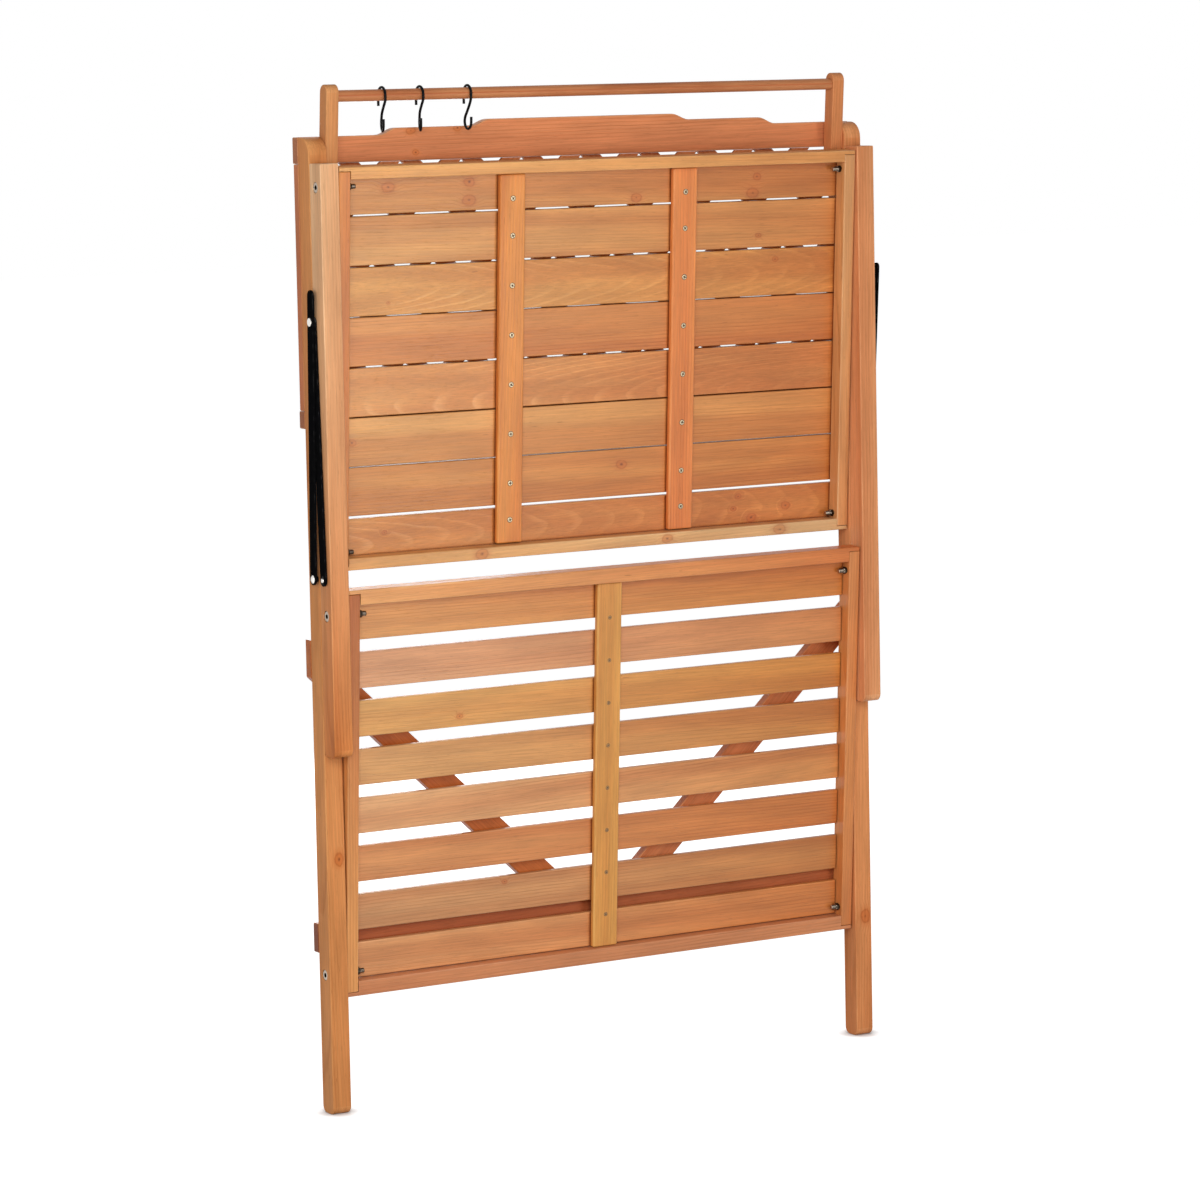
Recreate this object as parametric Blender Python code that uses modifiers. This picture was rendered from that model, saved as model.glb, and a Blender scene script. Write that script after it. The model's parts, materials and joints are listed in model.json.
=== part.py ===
import math

import bmesh
import bpy
from mathutils import Matrix

for old in list(bpy.data.objects):
    bpy.data.objects.remove(old, do_unlink=True)

mm = 0.001

# Driving dimensions in millimetres. +X is right, -Y is the front, +Z is up.
frame_width = 780.0  # over the outer faces of the legs
leg_width = 24.5
leg_depth = 28.0
leg_gap = 0.6  # front leg to rear leg when folded
rear_leg_height = 1170.0
front_leg_over = 28.0  # the front leg's top above its upper pivot
foot_radius = 9.0
rear_top_radius = 20.0
fit = 0.3  # clearance between neighbouring pieces

pivot_rise = 436.0  # front pivot above rear pivot when folded
pivot_drop = 58.0  # the table's front pivot below the tops of the rear legs when folded
panel_gap = 20.34  # shelf to table when folded
side_play = 1.5  # leg to stile, filled by the washer

stile_width = 15.5
rail_lip = 4.8  # the part of a rail's end that laps over the stile
table_over_rear, table_over_front = 20.7, 23.56  # panel ends past its pivots
table_front, table_back = -11.0, 9.0  # frame depth about the pivot line
table_rail = 14.5
board_thick = 8.5
board_gaps = (2.2, 2.3, 1.1, 2.2, 1.3, 1.0, 3.4)  # between neighbours, uneven, from the table's front edge
batten_width, batten_thick, batten_x = 35.0, 8.0, 122.0
shelf_over_rear, shelf_over_front = 29.2, 29.96
shelf_front, shelf_back = -8.0, 14.0
shelf_rail = 18.5
slat_count, slat_width, slat_thick = 8, 44.0, 8.0

bolt_radius, bolt_head_radius, bolt_head_length = 3.0, 6.5, 4.5
washer_radius, nut_radius, nut_length, bolt_tail = 7.5, 5.2, 5.0, 6.0

back_thick = 14.0
crest_drop = 31.0  # its lower edge below the tops of the rear legs
crest_rises = (0.5, 8.5, 16.0)  # its ends, steps and middle above them
crest_outer_curve, crest_inner_curve = (281.0, 256.0), (154.0, 129.0)
lattice_height, lattice_rail = 293.0, 21.0
lattice_side_width, lattice_side_thick = 24.0, 12.0
lattice_pitch, lattice_rise = 83.5, 80.5  # one diamond across and up
lattice_strip, lattice_layer = 18.5, 5.1
lattice_node_rise = 14.4  # a crossing above the crest's lower edge
low_rail_rise, low_rail, low_rail_thick = 24.5, 35.5, 13.0  # above the shelf's rear pivots
brace_rise, brace_end = 298.0, 46.0
brace_foot_out, brace_foot_in = 79.0, 27.0

upright_width, upright_depth, upright_length = 16.5, 18.5, 140.5
upright_foot_y, upright_lap, upright_lean = 18.1, 78.0, math.atan(0.085)
bar_radius, bar_below_top, bar_seat = 7.0, 14.0, 9.0
hook_x = (-287.0, -236.0, -171.0)
hook_wire = 1.6

stay_drop = 28.0  # stay pivots below the table's rear pivots
stay_inset = 8.0  # the rear arm's pivot in front of the middle of its leg
stay_width, stay_thick, stay_tail, stay_gap = 14.0, 2.4, 31.0, 0.8
stay_pin_radius, stay_pin_depth, stay_head_radius, stay_head = 3.4, 11.0, 5.0, 1.4

half_width = frame_width / 2
inner_x = half_width - leg_width  # inner faces of the legs
panel_x = inner_x - side_play  # outer faces of the stiles
leg_step = leg_depth + leg_gap
link = math.hypot(leg_step, pivot_rise)
panel_tilt = math.atan2(leg_step, pivot_rise)
rear_y = leg_depth / 2
front_y = rear_y - leg_step
back_y = leg_depth + fit  # front face of everything fixed behind the rear legs
table_pivot_z = rear_leg_height - pivot_drop - pivot_rise
shelf_pivot_z = table_pivot_z - table_over_rear - panel_gap - shelf_over_front - pivot_rise
front_leg_length = table_pivot_z + front_leg_over
table_from, table_to = -table_over_rear, link + table_over_front  # from the panel's rear pivot
shelf_from, shelf_to = -shelf_over_rear, link + shelf_over_front
crest_bottom = rear_leg_height - crest_drop
crest_end, crest_step, crest_top = [rear_leg_height + rise for rise in crest_rises]
lattice_rail_to = crest_bottom - lattice_height
lattice_rail_from = lattice_rail_to - lattice_rail
lattice_node_z = crest_bottom + lattice_node_rise
low_rail_from = shelf_pivot_z + low_rail_rise
low_rail_to = low_rail_from + low_rail
brace_end_from = low_rail_to + brace_rise
brace_end_to = brace_end_from + brace_end
upright_foot_z = rear_leg_height - upright_lap
stay_pivot_z = table_pivot_z - stay_drop
stay_rear_y = rear_y - stay_inset
stay_arm = math.hypot(link - stay_inset, pivot_rise) / 2 * 1.0004
stay_tilt = math.asin((leg_step - stay_inset) / 2 / stay_arm)

scene = bpy.context.scene
parts = bpy.data.collections.new("folding_potting_bench")
cutters = bpy.data.collections.new("cutters")
scene.collection.children.link(parts)
scene.collection.children.link(cutters)


def material(name, colour, roughness, metallic=0.0):
    made = bpy.data.materials.new(name)
    made.use_nodes = True
    shader = made.node_tree.nodes["Principled BSDF"]
    shader.inputs["Base Color"].default_value = (*colour, 1)
    shader.inputs["Roughness"].default_value = roughness
    shader.inputs["Metallic"].default_value = metallic
    made.diffuse_color = (*colour, 1)
    return made


leg_wood = material("leg_wood", (0.60, 0.28, 0.115), 0.55)
board_wood = material("board_wood", (0.66, 0.30, 0.13), 0.55)
rail_wood = material("rail_wood", (0.62, 0.27, 0.11), 0.55)
back_wood = material("back_wood", (0.50, 0.19, 0.08), 0.55)
slat_wood = material("slat_wood", (0.60, 0.29, 0.13), 0.55)
steel = material("zinc_steel", (0.62, 0.62, 0.60), 0.35, 1.0)
black = material("black_steel", (0.012, 0.012, 0.013), 0.4, 0.6)


def place(obj, parent, helper=False):
    (cutters if helper else parts).objects.link(obj)
    obj.parent = parent or bench
    if helper:
        obj.hide_render = True
        obj.display_type = "WIRE"
    return obj


def empty(name, y, z, turn=0.0, x=0.0, parent=None):
    made = bpy.data.objects.new(name, None)
    parts.objects.link(made)
    made.parent = parent
    made.location = (x * mm, y * mm, z * mm)
    made.rotation_euler = (turn, 0, 0)
    return made


def soften(obj, width):
    bevel = obj.modifiers.new("edges", "BEVEL")
    bevel.width = width * mm
    bevel.segments = 1
    bevel.limit_method = "ANGLE"
    bevel.angle_limit = math.radians(40)


def box(name, x, y, z, wood, parent=None, bevel=1.0, helper=False):
    mesh = bpy.data.meshes.new(name)
    work = bmesh.new()
    bmesh.ops.create_cube(work, size=1)
    bmesh.ops.scale(work, vec=[(b - a) * mm for a, b in (x, y, z)], verts=work.verts)
    work.to_mesh(mesh)
    work.free()
    obj = place(bpy.data.objects.new(name, mesh), parent, helper)
    obj.location = [(a + b) / 2 * mm for a, b in (x, y, z)]
    if wood:
        mesh.materials.append(wood)
    if bevel:
        soften(obj, bevel)
    return obj


def rod(name, x, y, z, radius, wood=None, parent=None, sides=20, helper=True):
    mesh = bpy.data.meshes.new(name)
    work = bmesh.new()
    bmesh.ops.create_cone(
        work, cap_ends=True, segments=sides, radius1=radius * mm, radius2=radius * mm, depth=(x[1] - x[0]) * mm
    )
    work.to_mesh(mesh)
    work.free()
    obj = place(bpy.data.objects.new(name, mesh), parent, helper)
    obj.location = ((x[0] + x[1]) / 2 * mm, y * mm, z * mm)
    obj.rotation_euler = (0, math.pi / 2, 0)
    if wood:
        mesh.materials.append(wood)
    return obj


def arc(a, b, radius, start, end, steps=5):
    turns = [math.radians(start + (end - start) * i / steps) for i in range(steps + 1)]
    return [(a + radius * math.cos(t), b + radius * math.sin(t)) for t in turns]


def outline(name, points, thickness, centre, facing, wood, parent=None, bevel=1.0):
    # A flat outline with a thickness. Facing "x" draws it in Y and Z, facing "y" in X and Z.
    curve = bpy.data.curves.new(name, "CURVE")
    curve.dimensions = "2D"
    curve.fill_mode = "BOTH"
    curve.extrude = thickness / 2 * mm
    spline = curve.splines.new("POLY")
    spline.points.add(len(points) - 1)
    for point, (a, b) in zip(spline.points, points):
        point.co = (a * mm, b * mm, 0, 1)
    spline.use_cyclic_u = True
    drawn = bpy.data.objects.new(name + "_outline", curve)
    mesh = bpy.data.meshes.new_from_object(drawn)
    bpy.data.objects.remove(drawn, do_unlink=True)
    work = bmesh.new()
    work.from_mesh(mesh)
    bmesh.ops.remove_doubles(work, verts=work.verts, dist=1e-6)
    bmesh.ops.dissolve_limit(work, angle_limit=0.001, verts=work.verts, edges=work.edges)
    bmesh.ops.recalc_face_normals(work, faces=work.faces)
    work.to_mesh(mesh)
    work.free()
    mesh.materials.clear()
    mesh.materials.append(wood)
    obj = place(bpy.data.objects.new(name, mesh), parent)
    obj.location = [v * mm for v in centre]
    quarter = math.pi / 2
    obj.rotation_euler = (quarter, 0, quarter) if facing == "x" else (quarter, 0, 0)
    if bevel:
        soften(obj, bevel)
    return obj


def change(obj, tool, operation="DIFFERENCE"):
    cut = obj.modifiers.new(tool.name, "BOOLEAN")
    cut.operation = operation
    cut.solver = "EXACT"
    cut.object = tool
    return obj


def both(name):
    return ((name + "_left", -1), (name + "_right", 1))


def span(side, near, far):
    # A range along X at the left (-1) or right (1) side.
    return tuple(sorted((side * near, side * far)))


# The bench stands centred on the origin. Its own frame has Y = 0 at the front faces of the rear legs.
bench = empty("bench", -(back_y + back_thick - leg_step) / 2, 0)
# Empties on the joint axes.
table_axis = empty("table_axis", rear_y, table_pivot_z, panel_tilt, parent=bench)
shelf_axis = empty("shelf_axis", rear_y, shelf_pivot_z, panel_tilt, parent=bench)
front_axis = empty("front_leg_axis", front_y, table_pivot_z + pivot_rise, parent=bench)
bar_frame = empty("bar_frame", upright_foot_y, upright_foot_z, upright_lean, parent=bench)

# Legs, with bores for the pivot bolts and the stay pins.
r, d, h = foot_radius, leg_depth, rear_leg_height
rear_outline = (
    arc(r, r, r, 180, 270)
    + arc(d - r, r, r, 270, 360)
    + [(d, h)]
    + arc(rear_top_radius, h - rear_top_radius, rear_top_radius, 90, 180, 7)
)
h = front_leg_length
front_outline = arc(r, r, r, 180, 270) + arc(d - r, r, r, 270, 360) + [(d, h), (0, h)]


def bore(leg, side, y, z):
    tag = leg.name + str(round(z))
    hole = rod(tag + "_bore", span(side, inner_x - 5, half_width + 5), y, z, bolt_radius + fit)
    change(leg, hole)
    recess = span(side, half_width - bolt_head_length - 2 * fit, half_width + 5)
    change(leg, rod(tag + "_recess", recess, y, z, bolt_head_radius + fit))


def pin_bore(leg, side, y, z):
    hole = span(side, half_width - stay_pin_depth - 2, half_width + 5)
    change(leg, rod(leg.name + "_pin_bore", hole, y, z, stay_pin_radius + fit))


for name, side in both("rear_leg"):
    middle = side * (half_width - leg_width / 2)
    leg = outline(name, rear_outline, leg_width, (middle, 0, 0), "x", leg_wood)
    bore(leg, side, rear_y, table_pivot_z)
    bore(leg, side, rear_y, shelf_pivot_z)
    pin_bore(leg, side, stay_rear_y, stay_pivot_z)

for name, side in both("front_leg"):
    middle = side * (half_width - leg_width / 2)
    start = (middle, -leg_step - front_y, -table_pivot_z)
    leg = outline(name, front_outline, leg_width, start, "x", leg_wood, front_axis)
    bore(leg, side, front_y, table_pivot_z + pivot_rise)
    bore(leg, side, front_y, shelf_pivot_z + pivot_rise)
    pin_bore(leg, side, front_y, stay_pivot_z)

# Pivot bolts: a turned profile with head, washer and nut, from the leg's outer face inwards.
nut_at = leg_width + side_play + stile_width + fit
profile = [
    (fit, 0.0),
    (fit, bolt_head_radius),
    (fit + bolt_head_length, bolt_head_radius),
    (fit + bolt_head_length, bolt_radius),
    (leg_width + fit, bolt_radius),
    (leg_width + fit, washer_radius),
    (leg_width + side_play - fit, washer_radius),
    (leg_width + side_play - fit, bolt_radius),
    (nut_at, bolt_radius),
    (nut_at, nut_radius),
    (nut_at + nut_length, nut_radius),
    (nut_at + nut_length, bolt_radius),
    (nut_at + nut_length + bolt_tail, bolt_radius),
    (nut_at + nut_length + bolt_tail, 0.0),
]
bolt_mesh = bpy.data.meshes.new("pivot_bolt")
bolt_mesh.from_pydata([(x * mm, y * mm, 0) for x, y in profile], [(i, i + 1) for i in range(len(profile) - 1)], [])
bolt_mesh.materials.append(steel)
for kind, y, z, parent in (
    ("table_rear_bolt", rear_y, table_pivot_z, None),
    ("shelf_rear_bolt", rear_y, shelf_pivot_z, None),
    ("table_front_bolt", 0.0, 0.0, front_axis),
    ("shelf_front_bolt", 0.0, shelf_pivot_z - table_pivot_z, front_axis),
):
    for name, side in both(kind):
        bolt = place(bpy.data.objects.new(name, bolt_mesh), parent)
        bolt.location = (side * half_width * mm, y * mm, z * mm)
        bolt.rotation_euler = (0, 0, math.pi if side > 0 else 0)
        turn = bolt.modifiers.new("turned", "SCREW")
        turn.axis = "X"
        turn.steps = turn.render_steps = 16
        turn.use_merge_vertices = True
        turn.merge_threshold = 0.00001
        turn.use_normal_calculate = True
        turn.use_normal_flip = True

# Back: crest board, lattice, rails and braces, all on the rear faces of the rear legs.


def ease(points_from, points_to, steps=6):
    (a, low), (b, high) = points_from, points_to
    shares = [i / steps for i in range(steps + 1)]
    return [(a + (b - a) * t, low + (high - low) * (0.5 - 0.5 * math.cos(math.pi * t))) for t in shares]


right_edge = (
    [(half_width, crest_end)]
    + ease((crest_outer_curve[0], crest_end), (crest_outer_curve[1], crest_step))
    + ease((crest_inner_curve[0], crest_step), (crest_inner_curve[1], crest_top))
)
left_edge = [(-a, b) for a, b in reversed(right_edge)]
crest = [(-half_width, crest_bottom), (half_width, crest_bottom)] + right_edge + left_edge
back_mid = back_y + back_thick / 2
outline("crest_board", crest, back_thick, (0, back_mid, 0), "y", back_wood)

full = (-half_width, half_width)
back_range = (back_y, back_y + back_thick)
box("lattice_bottom_rail", full, back_range, (lattice_rail_from, lattice_rail_to), back_wood)
box("lower_back_rail", full, (back_y, back_y + low_rail_thick), (low_rail_from, low_rail_to), back_wood)
lattice_z = (lattice_rail_to + fit, crest_bottom - fit)
for name, side in both("lattice_side"):
    strip = span(side, half_width - lattice_side_width, half_width)
    box(name, strip, (back_y, back_y + lattice_side_thick), lattice_z, back_wood, bevel=0.8)

for name, side in both("brace"):
    foot = low_rail_to + fit
    corners = [
        (-half_width, brace_end_from),
        (-brace_foot_out, foot),
        (-brace_foot_in, foot),
        (-half_width, brace_end_to),
    ]
    corners = [(-side * a, b) for a, b in corners]
    outline(name, corners, back_thick, (0, back_mid, 0), "y", back_wood)


def strips(name, lean, near_y, helper):
    # One layer of parallel diagonal strips, as one mesh of separate bars.
    mesh = bpy.data.meshes.new(name)
    work = bmesh.new()
    for step in range(-3, 8):
        bar = bmesh.ops.create_cube(work, size=1)["verts"]
        bmesh.ops.scale(work, vec=(lattice_strip * mm, lattice_layer * mm, 1.3), verts=bar)
        turn = Matrix.Rotation(lean * math.atan2(lattice_pitch, lattice_rise), 3, "Y")
        bmesh.ops.rotate(work, cent=(0, 0, 0), matrix=turn, verts=bar)
        bmesh.ops.translate(work, vec=(lean * step * lattice_pitch * mm, 0, 0), verts=bar)
    work.to_mesh(mesh)
    work.free()
    obj = place(bpy.data.objects.new(name, mesh), None, helper)
    obj.location = (0, (near_y + lattice_layer / 2) * mm, lattice_node_z * mm)
    return obj


lattice = strips("lattice_panel", 1, back_y + 1.0, False)
lattice.data.materials.append(back_wood)
change(lattice, strips("lattice_rear_layer", -1, back_y + 0.8 + lattice_layer, True), "UNION")
opening = half_width - lattice_side_width - fit
window = box("lattice_window", (-opening, opening), (back_y - 5, back_y + 30), lattice_z, None, bevel=0, helper=True)
change(lattice, window, "INTERSECT")

# Hook bar on two uprights that lean forward, on the inner faces of the rear legs.
half = upright_depth / 2
upright = [(-half, 0), (half, 0)] + arc(0, upright_length - half, half, 0, 180, 10)
bar_z = upright_length - bar_below_top
bar_end = inner_x - fit - upright_width + bar_seat
for name, side in both("bar_upright"):
    middle = side * (inner_x - fit - upright_width / 2)
    post = outline(name, upright, upright_width, (middle, 0, 0), "x", leg_wood, bar_frame)
    seat = rod(name + "_seat", span(side, bar_end + fit, inner_x - 40), 0, bar_z, bar_radius + fit, None, bar_frame)
    change(post, seat)
rod("hook_bar", (-bar_end, bar_end), 0, bar_z, bar_radius, back_wood, bar_frame, 24, False)

bar_y = upright_foot_y - bar_z * math.sin(upright_lean)
bar_height = upright_foot_z + bar_z * math.cos(upright_lean)
loop = bar_radius + fit + 0.3 + hook_wire
hook_path = (
    [(loop, -13.0), (loop, -6.0)]
    + arc(0, 0, loop, 0, 180, 8)
    + [(-loop + 0.6, -6.5), (-loop + 3.8, -13.0), (0.6, -21.0), (6.2, -27.5)]
    + arc(0, -34.2, 8.6, 20, -180, 9)
    + [(-8.9, -28.5)]
)
for number, x in enumerate(hook_x, 1):
    axis = empty(f"hook_{number}_axis", bar_y, bar_height, 0.0, x, bench)
    wire = bpy.data.curves.new(f"s_hook_{number}", "CURVE")
    wire.dimensions = "3D"
    wire.bevel_depth = hook_wire * mm
    wire.bevel_resolution = 2
    wire.use_fill_caps = True
    wire.resolution_u = 1
    path = wire.splines.new("POLY")
    path.points.add(len(hook_path) - 1)
    for point, (y, z) in zip(path.points, hook_path):
        point.co = (0, y * mm, z * mm, 1)
    wire.materials.append(black)
    place(bpy.data.objects.new(f"s_hook_{number}", wire), axis)


# Panels. Each is drawn upright in its axis' own frame: Z runs along the panel, -Y is its underside.
def frame_of(name, axis, ends, depth, rail):
    near, far = ends
    for rail_name, low, high, notch in (
        (name + "_rear_rail", near, near + rail, (near + rail_lip, near + rail + 5)),
        (name + "_front_rail", far - rail, far, (far - rail - 5, far - rail_lip)),
    ):
        piece = box(rail_name, (-panel_x, panel_x), depth, (low, high), rail_wood, axis)
        for tag, side in both("_notch"):
            wide = span(side, panel_x - stile_width - fit, panel_x + 5)
            deep = (depth[0] - 5, depth[1] + 5)
            change(piece, box(rail_name + tag, wide, deep, notch, None, axis, 0, True))
    for stile_name, side in both(name + "_stile"):
        wide = span(side, panel_x - stile_width, panel_x)
        long = (near + rail_lip + fit, far - rail_lip - fit)
        piece = box(stile_name, wide, depth, long, rail_wood, axis)
        for number, z in enumerate((0.0, link)):
            hole = rod(f"{stile_name}_bore_{number}", (wide[0] - 5, wide[1] + 5), 0, z, bolt_radius + fit, None, axis)
            change(piece, hole)


frame_of("table", table_axis, (table_from, table_to), (table_front, table_back), table_rail)
board_width = (table_to - table_from - sum(board_gaps)) / (len(board_gaps) + 1)
board_depth = (table_back + fit, table_back + fit + board_thick)
high = table_to
for number, gap in enumerate(board_gaps + (0.0,), 1):
    low = high - board_width
    box(f"table_board_{number}", (-panel_x, panel_x), board_depth, (low, high), board_wood, table_axis)
    high = low - gap
inside = (table_from + table_rail + 1.0, table_to - table_rail - 1.0)
batten_depth = (table_back - batten_thick, table_back)
for name, side in both("table_batten"):
    wide = span(side, batten_x - batten_width / 2, batten_x + batten_width / 2)
    box(name, wide, batten_depth, inside, rail_wood, table_axis, 1.5)

frame_of("shelf", shelf_axis, (shelf_from, shelf_to), (shelf_front, shelf_back), shelf_rail)
inside = (shelf_from + shelf_rail + fit, shelf_to - shelf_rail - fit)
slat_pitch = (inside[1] - inside[0] - slat_width) / (slat_count - 1)
slat_depth = (shelf_back - slat_thick, shelf_back)
slat_x = panel_x - stile_width - fit
for number in range(slat_count):
    high = inside[1] - number * slat_pitch
    box(f"shelf_slat_{number + 1}", (-slat_x, slat_x), slat_depth, (high - slat_width, high), slat_wood, shelf_axis)
batten_depth = (slat_depth[0] - fit - batten_thick, slat_depth[0] - fit)
half = batten_width / 2
box("shelf_batten", (-half, half), batten_depth, inside, rail_wood, shelf_axis, 1.5)

# Stays: the front arm lies next to the legs and the rear arm outside it, so they pass each other.
inner_layer = (half_width + stay_gap, half_width + stay_gap + stay_thick)
outer_layer = (inner_layer[1] + 0.5, inner_layer[1] + 0.5 + stay_thick)
half = stay_width / 2
for place_name, y, layer, tilt, tail in (
    ("rear", stay_rear_y, outer_layer, stay_tilt, stay_tail),
    ("front", front_y, inner_layer, -stay_tilt, 0.0),
):
    for name, side in both(f"stay_{place_name}_arm"):
        axis = empty(name + "_axis", y, stay_pivot_z, tilt, parent=bench)
        shape = arc(0, 0, half, 180, 360, 8) + arc(0, stay_arm + tail, half, 0, 180, 8)
        middle = (side * (layer[0] + layer[1]) / 2, 0, 0)
        arm = outline(name, shape, stay_thick, middle, "x", black, axis, 0)
        pin = span(side, half_width - stay_pin_depth, layer[0] + 1.0)
        change(arm, rod(name + "_pin", pin, 0, 0, stay_pin_radius, None, axis), "UNION")
        head = span(side, layer[1] - 1.0, layer[1] + stay_head)
        change(arm, rod(name + "_pin_head", head, 0, 0, stay_head_radius, None, axis), "UNION")
        if tail:
            rivet = rod(name + "_rivet", head, 0, stay_arm, stay_head_radius, None, axis)
            change(arm, rivet, "UNION")
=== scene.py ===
import json
import math
import random

import bmesh
import bpy
from mathutils import Matrix, Vector


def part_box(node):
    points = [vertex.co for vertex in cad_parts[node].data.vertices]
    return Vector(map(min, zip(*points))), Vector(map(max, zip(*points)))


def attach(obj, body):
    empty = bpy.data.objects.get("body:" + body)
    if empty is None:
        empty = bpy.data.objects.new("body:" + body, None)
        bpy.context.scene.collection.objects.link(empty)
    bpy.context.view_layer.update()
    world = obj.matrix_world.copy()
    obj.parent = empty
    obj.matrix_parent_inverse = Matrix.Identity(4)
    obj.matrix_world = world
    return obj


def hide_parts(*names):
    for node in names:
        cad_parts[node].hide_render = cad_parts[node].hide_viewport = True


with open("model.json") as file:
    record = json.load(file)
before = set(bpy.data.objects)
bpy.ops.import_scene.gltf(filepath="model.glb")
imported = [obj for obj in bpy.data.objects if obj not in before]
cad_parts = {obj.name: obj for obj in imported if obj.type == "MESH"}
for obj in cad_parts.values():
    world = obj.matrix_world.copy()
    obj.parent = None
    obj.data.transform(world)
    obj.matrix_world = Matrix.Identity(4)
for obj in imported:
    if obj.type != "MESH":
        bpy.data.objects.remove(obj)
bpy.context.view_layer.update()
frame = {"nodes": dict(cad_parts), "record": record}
record = frame["record"]
bodyOf = {node: body for body, nodes in record["behaviour"]["bodies"].items() for node in nodes}
joints = {joint["child"]: joint for joint in record["behaviour"]["joints"]}
pivots = {body: Vector(joint["pos_m"]) for body, joint in joints.items()}
mm = 0.001
dice = random.Random(7)
print("stage: frame loaded")


# Small helpers for node trees.
def addNode(tree, kind, sockets=None, **settings):
    made = tree.nodes.new(kind)
    for key, value in settings.items():
        setattr(made, key, value)
    for key, value in (sockets or {}).items():
        if isinstance(value, bpy.types.NodeSocket):
            tree.links.new(value, made.inputs[key])
        else:
            made.inputs[key].default_value = value
    return made


def calc(tree, operation, first, second=0.0, third=0.0):
    return addNode(tree, "ShaderNodeMath", {0: first, 1: second, 2: third}, operation=operation).outputs[0]


def times(tree, first, second):
    return calc(tree, "MULTIPLY", first, second)


def spanOf(tree, first, second):
    squares = calc(tree, "ADD", calc(tree, "POWER", first, 2.0), calc(tree, "POWER", second, 2.0))
    return calc(tree, "SQRT", squares)


def split(tree, vector):
    return addNode(tree, "ShaderNodeSeparateXYZ", {0: vector}).outputs


def ramp(tree, value, low, high, toLow=0.0, toHigh=1.0):
    sockets = {"Value": value, "From Min": low, "From Max": high, "To Min": toLow, "To Max": toHigh}
    return addNode(tree, "ShaderNodeMapRange", sockets, interpolation_type="SMOOTHSTEP").outputs["Result"]


def blendColour(tree, share, first, second, kind="MIX"):
    sockets = {0: share, 6: first, 7: second}
    return addNode(tree, "ShaderNodeMix", sockets, data_type="RGBA", blend_type=kind).outputs[2]


def readAttribute(tree, name, output="Vector"):
    return addNode(tree, "ShaderNodeAttribute", attribute_name=name).outputs[output]


def noiseOf(tree, vector, scale, detail=2.0, roughness=0.5):
    stretched = addNode(tree, "ShaderNodeMapping", {"Vector": vector, "Scale": scale}, vector_type="POINT")
    sockets = {"Vector": stretched.outputs[0], "Scale": 1.0, "Detail": detail, "Roughness": roughness}
    return addNode(tree, "ShaderNodeTexNoise", sockets, noise_dimensions="3D").outputs


def addBump(tree, shader, height, strength, depth):
    bump = addNode(tree, "ShaderNodeBump", {"Height": height, "Strength": strength, "Distance": depth})
    tree.links.new(bump.outputs[0], shader.inputs["Normal"])


def newMaterial(name):
    made = bpy.data.materials.new(name)
    made.use_nodes = True
    return made, made.node_tree, made.node_tree.nodes["Principled BSDF"]


# Stained fir. "grain" holds each point's place from the pith of its tree, with X along the grain, and "spot"
# its place from the middle of its piece. knotA to knotF each hold a place along and across it and a radius.
wood = {
    "ringSpacing": 0.0042,
    "wander": 0.013,  # slow drift of the rings, in metres
    "ripple": 0.0045,  # quicker waves in them
    "knotSwirl": 0.005,  # how far a knot pushes the rings aside
    "knotAlong": 0.72,  # below 1, knots are longer along the grain
    "knotUneven": 0.9,
    "roughness": 0.33,
    "grainDepth": 0.00022,
    "edgeColour": (0.76, 0.41, 0.18, 1),
    "fleckColour": (0.3, 0.09, 0.026, 1),
    # Painted shade in the crevices: how far it reaches and its colour.
    "creviceShadeReach": 0.0032,
    "creviceShadeColour": (0.34, 0.2, 0.14, 1),
}
# Each pattern in the wood: how fine it is along and across the grain, its detail and its roughness.
grainPatterns = {
    "drift": (1.6, 8.0, 1.0, 0.5),
    "wave": (9.0, 26.0, 2.0, 0.5),
    "fading": (1.8, 34.0, 2.0, 0.5),
    "band": (0.9, 30.0, 2.0, 0.5),
    "patch": (8.0, 46.0, 3.0, 0.5),
    "fibre": (16.0, 620.0, 3.0, 0.6),
    "pore": (70.0, 1500.0, 1.0, 0.5),
    "resin": (52.0, 330.0, 1.0, 0.5),
    "cluster": (5.0, 16.0, 1.0, 0.5),
    "lump": (110.0, 170.0, 2.0, 0.5),
}
# Out from a knot's pith: how far in knot radii, the colour and how much of it covers the wood.
knotStops = (
    (0.0, (0.2, 0.05, 0.016), 0.95),
    (0.16, (0.36, 0.095, 0.026), 0.85),
    (0.35, (0.54, 0.15, 0.036), 0.75),
    (0.8, (0.55, 0.15, 0.036), 0.75),
    (1.0, (0.42, 0.105, 0.026), 0.75),
    (1.3, (0.56, 0.175, 0.048), 0.4),
    (2.1, (0.6, 0.2, 0.06), 0.0),
)
knotLetters = "ABCDEF"
farFromKnots = 9.0


def grainNoise(tree, grain, pattern, output="Fac"):
    along, across, detail, roughness = grainPatterns[pattern]
    return noiseOf(tree, grain, (along, across, across), detail, roughness)[output]


def nearestKnot(tree, grain):
    # How far the closest knot is, in knot radii.
    spot = split(tree, readAttribute(tree, "spot"))
    near = farFromKnots
    for letter in knotLetters:
        knot = split(tree, readAttribute(tree, "knot" + letter))
        along = times(tree, calc(tree, "SUBTRACT", spot[0], knot[0]), wood["knotAlong"])
        aside = calc(tree, "SUBTRACT", spot[1], knot[1])
        near = calc(tree, "MINIMUM", near, calc(tree, "DIVIDE", spanOf(tree, along, aside), knot[2]))
    uneven = wood["knotUneven"]
    lump = calc(tree, "MULTIPLY_ADD", grainNoise(tree, grain, "lump"), uneven, -uneven / 2)
    return calc(tree, "MAXIMUM", 0.0, calc(tree, "ADD", near, lump))


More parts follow.
